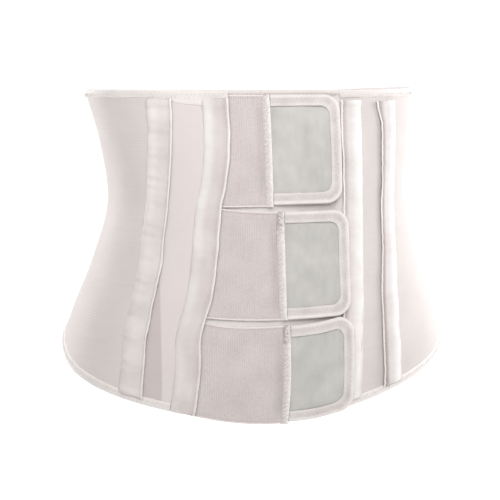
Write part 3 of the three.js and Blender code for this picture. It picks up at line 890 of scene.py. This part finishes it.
def strapForm(name):
    strap = strapTable[name]
    index = list(strapTable).index(name)
    top = firstStrapTop - index * strapPitch + strap["raised"]
    low = top - strap["raised"] - strap["depth"] * strapWidth + strap["trim"]
    seam = strap["seam"] * closure["width"]
    end = seam + strap["tab"]

    def edge(start, toRoot, toEnd, curl=2):
        reach = seam - casingLine("placket", np.array(start))

        def at(girth):
            girth = np.asarray(girth, float)
            toSeam = np.where(girth < seam, (girth - seam) / reach, (girth - seam) / strap["tab"])
            rise = np.where(girth < seam, toRoot * np.abs(toSeam) ** curl, toEnd * toSeam ** 2)
            return start + strapWidth * rise

        return at

    overCasing = cloth["gap"] + closure["casingHeight"] + cloth["gap"] + cloth["panel"]
    landing = casingLine("rightInner", np.array(low)) - halfCasing
    slope = overCasing / (landing - seam)
    return {
        "seam": seam,
        "end": end,
        "topAt": edge(top, strap["rootTop"], strap["endTop"], strap["curl"]),
        "bottomAt": edge(low, strap["rootBottom"], strap["endBottom"]),
        "raiseAt": lambda girth: slope * (girth - seam),
        "hang": strap["hang"],
    }


# across the strap: millimetres in from the edge, the lift of its face, and the shade, for the rolled hems: a
# painted highlight on the roll and a painted shadow just inside it
hemRoll = [
    (0.0, -0.5, 0.2), (0.1, 0.0, 0.8), (0.35, 0.45, 1.2), (0.8, 0.62, 1.2), (1.2, 0.5, 0.8),
    (1.6, 0.2, 0.0), (2.1, 0.03, -0.25), (3.2, 0.0, -0.05),
]


def strapPiece(name, form, seed):
    inset, rolled, paler = np.array(hemRoll).T
    middle = np.linspace(0, 1, strapLook["rows"])[1:-1]
    girthShare = np.linspace(0, 1, strapLook["columns"] + 1)[:, None]
    bare = 0 * middle
    share = np.concatenate([0 * inset, middle, 0 * inset + 1])
    shift = np.concatenate([inset, inset[-1] * (1 - 2 * middle), -inset[::-1]])
    lift = np.concatenate([rolled, bare, rolled[::-1]])
    tone = np.concatenate([paler, bare, paler[::-1]])
    back = np.full(len(share), -cloth["panel"])
    back[0] = back[-1] = -0.9
    share = np.concatenate([share, share[::-1]])[None, :]
    shift = np.concatenate([shift, shift[::-1]])[None, :]
    lift = np.concatenate([lift, back])[None, :]
    tone = np.concatenate([tone, 0 * tone])[None, :]
    seam = form["seam"]
    rootAt = casingLine("placket", np.full_like(share + girthShare, form["bottomAt"](seam)))
    for _ in range(4):
        girth = lerp(rootAt + 0.6, seam, girthShare)
        height = lerp(form["bottomAt"](girth) - form["hang"], form["topAt"](girth), share) + shift
        rootAt = casingLine("placket", height)
    inner = np.clip(np.minimum(share, 1 - share) * 8, 0, 1)
    dip = hump(seam - girth, *strapLook["dip"])
    sag = strapLook["sag"] * ripple(girth, height, 40, seed) - 0.35 * dip
    lift = np.where(lift > 0, lift * ease(girth - rootAt, halfCasing - 0.6, halfCasing + 1), lift)
    # painted shade in the hollow beside the seam, and a painted shadow along the placket's folded edge
    tone = tone - 0.35 * inner * dip + 0.1 * inner * ripple(girth, height, 32, seed + 1)
    tone = tone - 0.6 * hump(girth - rootAt, halfCasing + 0.4, 1.0)
    angle = angleAt(girth, height)
    sweepPiece(name, angle, height, lift + sag * inner, height, girth, elastic, tone)


# across the frame from its outer edge inwards, the lift above the pad's face, and the shade: a painted
# highlight on the rolled outer edge and, less, on the inner edge, a little painted shade down the outer side,
# and a pinker stitched middle
frameFold = [
    (9.5, 0.32, 0.1), (9.45, 0.9, 0.2), (9.1, 1.2, 0.3), (8.5, 1.25, 0.25), (7.7, 1.1, 0.1),
    (6.6, 0.95, -0.05), (5.4, 0.88, -0.15), (4.2, 0.9, -0.1), (3.2, 1.05, 0.15), (2.5, 1.35, 0.65),
    (1.8, 1.5, 0.9), (1.1, 1.45, 0.7), (0.5, 1.15, 0.2), (0.1, 0.6, -0.1), (0.0, 0.1, -0.2),
    (0.0, -0.5, 0), (0.0, -1.0, 0), (0.3, -1.5, 0), (1.0, -1.85, 0), (2.2, -1.9, 0), (5.0, -1.88, 0),
    (8.0, -1.88, 0), (9.2, -1.85, 0), (9.5, -1.6, 0), (9.3, -1.32, 0), (5.0, -1.3, 0), (1.6, -1.3, 0),
    (0.95, -1.15, 0), (0.9, -0.5, 0), (0.95, 0.15, 0), (1.6, 0.3, 0), (5.0, 0.3, 0), (9.2, 0.3, 0),
]
frameAcross, frameLift, frameShade = np.array(frameFold).T
tabLook = {"corner": 26, "long": 60, "end": 40, "waver": 0.12, "windowCorner": 8.5}


def tabPath(form):
    # girth, height and the way into the tab, from the seam round the free end and back, and how much
    # further in the window's edge lies where its corners are rounded
    radius = closure["cornerRadius"]
    bend = form["end"] - radius
    start = form["seam"] + cloth["gap"]
    high = form["topAt"](bend) - radius
    low = form["bottomAt"](bend) + radius
    out = np.linspace(start, bend, tabLook["long"])
    turn = np.linspace(math.pi / 2, 0, tabLook["corner"])[1:]
    down = np.linspace(high, low, tabLook["end"])[1:-1]
    turnLow = -turn[::-1]
    home = out[::-1]
    girth = np.concatenate([
        out, bend + radius * np.cos(turn), np.full(len(down), form["end"]),
        bend + radius * np.cos(turnLow), home,
    ])
    height = np.concatenate([
        form["topAt"](out), high + radius * np.sin(turn), down, low + radius * np.sin(turnLow),
        form["bottomAt"](home),
    ])
    inX = np.concatenate([0 * out, -np.cos(turn), -1 + 0 * down, -np.cos(turnLow), 0 * home])
    inZ = np.concatenate([-1 + 0 * out, -np.sin(turn), 0 * down, -np.sin(turnLow), 1 + 0 * home])
    window = tabLook["windowCorner"]
    bare = radius - closure["frameWidth"]
    extra = window - bare

    def straight(toBend):
        left = np.clip(extra - toBend, 0, None)
        return window - np.sqrt(window ** 2 - left ** 2)

    def rounded(angle):
        both = np.abs(np.cos(angle)) + np.abs(np.sin(angle))
        return bare + extra * both - np.sqrt((extra * both) ** 2 - 2 * extra ** 2 + window ** 2)

    toEnds = np.minimum(high - down, down - low)
    fill = np.concatenate([
        straight(bend - out), rounded(turn), straight(toEnds), rounded(turnLow), straight(bend - home),
    ])
    return girth, height, inX, inZ, fill


def framePiece(name, form, seed):
    girth, height, inX, inZ, fill = (column[:, None] for column in tabPath(form))
    across = frameAcross[None, :]
    lift = frameLift[None, :]
    step = np.hypot(np.diff(girth[:, 0]), np.diff(height[:, 0]))
    along = np.concatenate([[0], np.cumsum(step)])[:, None]
    uneven = tabLook["waver"] * ripple(along, across * 0.5, 16, seed)
    depth = across + uneven * (across > 7) + fill * np.clip((across - 6) / 3.5, 0, 1)
    reach = girth + inX * depth
    level = height + inZ * depth
    lifted = padFace + lift + uneven * (lift > 0.6) + form["raiseAt"](reach)
    tone = frameShade[None, :] + 0.2 * ripple(along, across, 22, seed + 3)
    sweepPiece(name, angleAt(reach, level), level, lifted, along, across, tabTape, tone)


padLook = {"columns": 44, "rows": 40, "dent": 0.25, "dentLong": 34, "cloud": 0.25, "cloudLong": 45}


def padPiece(name, form, seed):
    radius = closure["cornerRadius"] - foldDepth
    bend = form["end"] - closure["cornerRadius"]
    high = form["topAt"](bend) - foldDepth
    low = form["bottomAt"](bend) + foldDepth
    corner = np.linspace(0, math.pi / 2, 12)
    squares = np.concatenate([
        low + radius * (1 - np.cos(corner)),
        np.linspace(low + radius, high - radius, padLook["rows"])[1:-1],
        high - radius * (1 - np.sin(corner)),
    ])[:, None]
    across = np.linspace(0, 1, padLook["columns"])[None, :]
    beyond = np.maximum(np.maximum(0, low + radius - squares), squares - high + radius)
    reach = bend + np.sqrt(np.maximum(0, radius ** 2 - beyond ** 2))
    girth = lerp(form["seam"] + cloth["gap"], reach, across)
    share = (squares - low) / (high - low)
    curved = lerp(form["bottomAt"](girth) + foldDepth, form["topAt"](girth) - foldDepth, share)
    height = np.where(girth > bend, squares, curved)
    raised = form["raiseAt"](girth)
    dents = padLook["dent"] * ripple(girth, height, padLook["dentLong"], seed) - 0.12
    calm = np.clip((form["end"] - girth) / 12, 0, 1)
    clouds = padLook["cloud"] * ripple(girth, height, padLook["cloudLong"], seed + 1)
    # a painted shadow on the pad beside the joint seam
    tone = clouds - 0.5 * hump(girth, form["seam"], 2.6)
    face = padFace + raised + np.minimum(dents * calm, 0.12)
    angle = angleAt(girth, height)
    sheetPiece(name, angle, height, face, padFloor + raised, girth, hookTape, tone)


# the joint seam: across from the tab's side in millimetres, the lift, and the shade
seamRidge = [
    (0.0, 0.3, 0.4), (0.05, 1.2, 0.9), (-0.35, 1.75, 1.0), (-0.85, 1.9, 1.0), (-1.5, 1.8, 0.9),
    (-2.2, 1.5, 0.5), (-3.0, 1.15, 0.1), (-4.0, 0.85, -0.2), (-5.2, 0.6, -0.35), (-6.1, 0.4, -0.4),
    (-6.5, 0.2, -0.4), (-4.5, 0.3, 0), (-2.0, 0.3, 0), (-1.0, 0.3, 0),
]
overlock = {"pitch": 3.4, "radius": 0.62, "sunk": 0.42, "slant": 2.6, "snarl": 17, "shade": 0.35}


def seamPiece(name, form, seed, snarled):
    across, lift, tone = np.array(seamRidge).T[:, None]
    rows = np.linspace(0, 1, 200)[:, None]
    low = form["bottomAt"](form["seam"]) - form["hang"]
    height = lerp(low, form["topAt"](form["seam"]), rows) + 0 * across
    bumpy = 0.2 * ripple(height, 0, overlock["pitch"], seed) * (lift > 0.7)
    lean = 0.35 * ripple(height, 0, 22, seed + 1)
    girth = form["seam"] + across + lean * (across < -0.2)
    fromTop = (1 - rows) * (form["topAt"](form["seam"]) - low)
    mess = snarled * (1 - ease(fromTop, overlock["snarl"] - 4, overlock["snarl"]))
    tone = tone - mess * (0.7 + 0.5 * ripple(height, girth, 4, seed + 2)) * (across < -0.5)
    sweepPiece(name, angleAt(girth, height), height, lift + bumpy, height, across, thread, tone)


def seamThreads(name, form, seed, snarled):
    chance = np.random.default_rng(seed)
    low = float(form["bottomAt"](form["seam"])) - form["hang"]
    high = float(form["topAt"](form["seam"]))
    bedAcross, bedLift, _ = np.array(seamRidge[10::-1]).T
    paths = []
    for height in np.arange(low + 0.6, high - 1.4, overlock["pitch"]):
        loose = snarled and height > high - overlock["snarl"]
        t = np.linspace(0, 1, 9)
        reach = chance.uniform(-6.3, -4.2) if loose else -5.2
        across = lerp(reach, -0.5, t)
        slant = overlock["slant"] * (chance.uniform(-1.6, 1.6) if loose else chance.uniform(0.4, 1.6))
        level = height + slant * (t - 0.5) + chance.uniform(-0.6, 0.6)
        if loose:
            across = across + 0.5 * np.sin(t * chance.uniform(4, 8) + chance.uniform(0, 3))
            across = np.clip(across, -6.6, -0.3)
        raised = 0.3 * np.sin(math.pi * np.clip(t * 1.1, 0, 1)) - overlock["sunk"] - 0.3 * ease(t, 0.75, 1)
        lift = np.interp(across, bedAcross, bedLift) + raised + (chance.uniform(0.0, 0.25) if loose else 0)
        level = np.clip(level, low + 0.4, high - 0.6)
        paths.append(onCloth(angleAt(form["seam"] + across, level), level, lift))
    threads(name, paths, overlock["radius"], 6, overlock["shade"])


def tabStitches(name, form):
    girths, heights, inX, inZ, _ = tabPath(form)
    length = np.concatenate([[0], np.cumsum(np.hypot(np.diff(girths), np.diff(heights)))])
    topside = slice(13, None, -1)

    def onTape(along, depth, risen):
        girth = np.interp(along, length, girths) + np.interp(along, length, inX) * depth
        height = np.interp(along, length, heights) + np.interp(along, length, inZ) * depth
        rest = np.interp(depth, frameAcross[topside], frameLift[topside])
        return onCloth(angleAt(girth, height), height, padFace + rest + form["raiseAt"](girth) + risen)

    zigzagStitches(name, length[-1], zigzag["tabMiddle"], 5, onTape)


for index, name in enumerate(strapTable):
    form = strapForm(name)
    snarled = 0 if name == "top" else 1
    strapPiece("strap_" + name, form, 50 + index)
    padPiece("hook_pad_" + name, form, 60 + index)
    framePiece("tab_binding_" + name, form, 70 + index)
    seamPiece("joint_seam_" + name, form, 80 + index, snarled)
    seamThreads("overlock_" + name, form, 90 + index, snarled)
    tabStitches("tab_stitches_" + name, form)
print("straps and tabs made")


# The cloth's cut sizes in metres

cut = {
    "back_panel": (0.55, 0.235),
    "front_panel_left": (0.045, 0.262),
    "front_panel_right": (0.05, 0.257),
    "underlap": (0.172, 0.27),
    "casing_left_outer": (0.022, 0.237),
    "casing_right_outer": (0.022, 0.237),
    "casing_right_inner": (0.022, 0.246),
    "strap_placket": (0.022, 0.262),
    "top_binding": (0.017, 0.7),
    "bottom_binding": (0.0165, 0.85),
    "underlap_top_binding": (0.024, 0.098),
    "underlap_bottom_binding": (0.017, 0.145),
    "strap_top": (0.045, 0.0894),
    "strap_middle": (0.066, 0.0885),
    "strap_bottom": (0.082, 0.083),
    "tab_binding_top": (0.021, 0.195),
    "tab_binding_middle": (0.021, 0.187),
    "tab_binding_bottom": (0.021, 0.183),
}
folded = ("casing", "binding", "placket")
for name, size in cut.items():
    held = "folded" if any(word in name for word in folded) else "stretched"


# Studio

studio = {
    "floorBelow": 0.9,  # metres under the waist, so that the floor carries no shadow into view
    "floorHalf": 1.3,
    "sky": (0.35, 1.3),  # how bright it is for the cloth and for the camera
    "floorGlow": (0.3, 1.0),
}
# watts, size, place and aim in metres
lights = {
    "keyLight": (25, 1.2, (1.5, 0.15, 0.3), (0, 0, 0)),
    "frontLight": (8.6, 0.8, (-0.25, -0.87, 0.66), (0, 0, 0.05)),
    "edgeLight": (17, 0.6, (-0.9, 1.2, 0.1), (0, 0, 0)),
}
camera = {
    "azimuth": -18,
    "distance": 1.1,
    "height": 0.097,
    "aimHeight": -0.049,
    "focalPixels": 1217,  # in a picture 500 pixels wide
    "imageSize": 500,
}

for name, (power, size, location, target) in lights.items():
    light = bpy.data.lights.new(name, "AREA")
    light.energy = power
    light.size = size
    lamp = bpy.data.objects.new(name, light)
    lamp.location = location
    away = [a - b for a, b in zip(location, target)]
    flatAway = math.hypot(away[0], away[1])
    lamp.rotation_euler = (math.atan2(flatAway, away[2]), 0, math.atan2(away[0], -away[1]))
    bpy.context.collection.objects.link(lamp)


def brighterInView(tree, forCloth, forCamera):
    # the camera sees plain white, while the cloth gets less light from it
    seen = addNode(tree, "LightPath", out="Is Camera Ray")
    return addNode(tree, "MapRange", {"To Min": forCloth, "To Max": forCamera}, {"Value": seen})


world = bpy.data.worlds.new("studioWhite")
bpy.context.scene.world = world
world.use_nodes = True
sky = world.node_tree
sky.nodes.clear()
strength = brighterInView(sky, *studio["sky"])
white = addNode(sky, "Background", {"Color": (1, 1, 1, 1)}, {"Strength": strength})
addNode(sky, "OutputWorld", links={"Surface": white})

floorMaterial = bpy.data.materials.new("whitePaper")
floorMaterial.use_nodes = True
floorTree = floorMaterial.node_tree
paper = floorTree.nodes["Principled BSDF"]
paper.inputs["Base Color"].default_value = linearColour("#fdfdfd")
paper.inputs["Roughness"].default_value = 1.0
paper.inputs["Specular IOR Level"].default_value = 0.0
paper.inputs["Emission Color"].default_value = (1, 1, 1, 1)
floorTree.links.new(brighterInView(floorTree, *studio["floorGlow"]), paper.inputs["Emission Strength"])
floorMesh = bpy.data.meshes.new("floor")
half, below = studio["floorHalf"], -studio["floorBelow"]
corners = [(-half, -half, below), (half, -half, below), (half, half, below), (-half, half, below)]
floorMesh.from_pydata(corners, [], [(0, 1, 2, 3)])
floorMesh.materials.append(floorMaterial)
floor = bpy.data.objects.new("floor", floorMesh)
bpy.context.collection.objects.link(floor)

lens = bpy.data.cameras.new("camera")
lens.sensor_fit = "HORIZONTAL"
lens.sensor_width = 36
lens.lens = camera["focalPixels"] / camera["imageSize"] * lens.sensor_width
eye = bpy.data.objects.new("camera", lens)
turn = math.radians(camera["azimuth"])
eye.location = (math.sin(turn) * camera["distance"], -math.cos(turn) * camera["distance"], camera["height"])
tilt = math.atan2(camera["height"] - camera["aimHeight"], camera["distance"])
eye.rotation_euler = (math.pi / 2 - tilt, 0, turn)
bpy.context.collection.objects.link(eye)
bpy.context.scene.camera = eye
bpy.context.scene.view_settings.view_transform = "Standard"
print("studio made")
